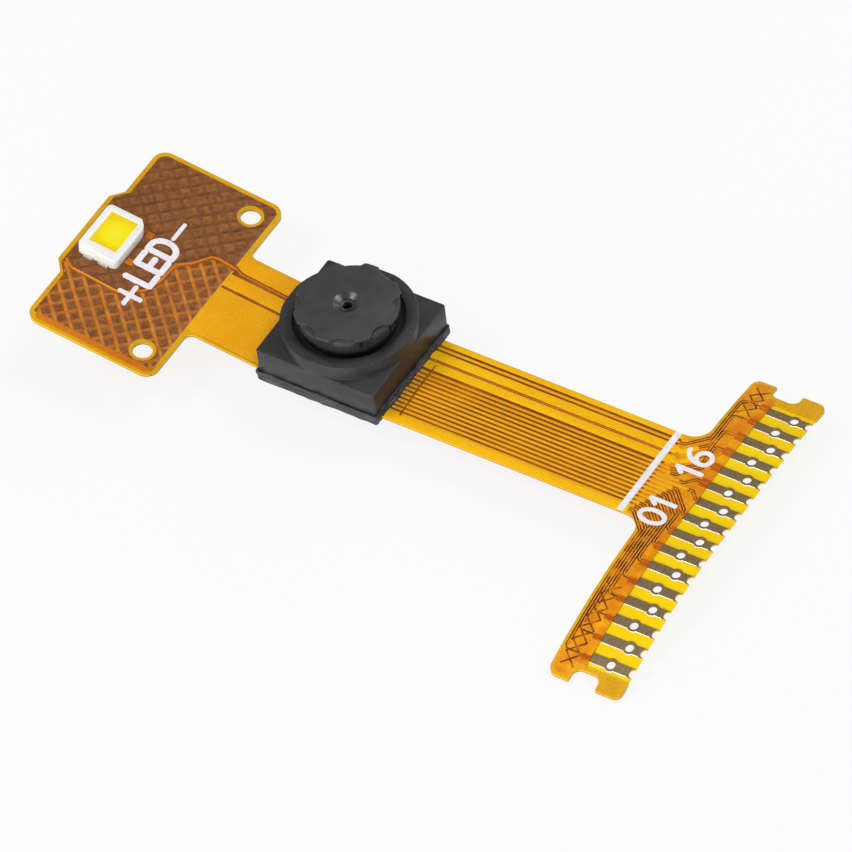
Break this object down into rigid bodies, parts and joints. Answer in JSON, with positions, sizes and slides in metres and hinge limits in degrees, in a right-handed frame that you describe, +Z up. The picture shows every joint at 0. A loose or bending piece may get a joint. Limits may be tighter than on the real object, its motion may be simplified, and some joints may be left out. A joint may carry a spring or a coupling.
{
  "type": "camera module",
  "caption": "Small camera module on an amber flexible printed circuit, with a screwed lens barrel, a lamp head and a crosswise tail of solder fingers.",
  "frame": {"origin": "on the lens axis, at the underside of the stiffener plate below the camera block", "axes": "+X from the lamp head to the solder fingers, +Y to the short arm of the tail, +Z up along the lens axis"},
  "size_m": [0.043, 0.0226, 0.0061],
  "materials": {
    "base_film": "satin",
    "copper": "satin",
    "finger_tin": "satin",
    "cover_film": "satin",
    "white_ink": "matte",
    "stiffener": "matte",
    "pad_gold": "satin",
    "solder": "satin",
    "silicon": "gloss",
    "sensor_glass": "gloss",
    "capacitor": "matte",
    "glue": "matte",
    "holder_plastic": "matte",
    "filter_glass": "gloss",
    "barrel_plastic": "satin",
    "lens_glass": "gloss",
    "lamp_housing": "matte",
    "lead_metal": "satin",
    "lamp_die": "gloss",
    "phosphor": "satin"
  },
  "bodies": {
    "root": {"base_film": "base_film", "power_traces": "copper", "signal_traces": "copper", "led_traces": "copper", "head_hatch": "copper", "solder_fingers": "finger_tin", "back_copper": "copper", "top_coverlay": "cover_film", "back_coverlay": "cover_film", "silkscreen_bar": "white_ink", "stiffener": "stiffener", "sensor_pads": "pad_gold", "sensor_balls": "solder", "sensor_die": "silicon", "sensor_glass": "sensor_glass", "capacitor_bodies": "capacitor", "capacitor_ends": "solder", "holder_glue": "glue", "lens_holder": "holder_plastic", "ir_filter": "filter_glass", "lens_barrel": "barrel_plastic", "front_lens": "lens_glass", "lens_spacer": "barrel_plastic", "rear_lens": "lens_glass", "retaining_ring": "barrel_plastic", "led_housing": "lamp_housing", "led_anode": "lead_metal", "led_cathode": "lead_metal", "led_die": "lamp_die", "led_phosphor": "phosphor", "led_solder": "solder"}
  },
  "joints": []
}
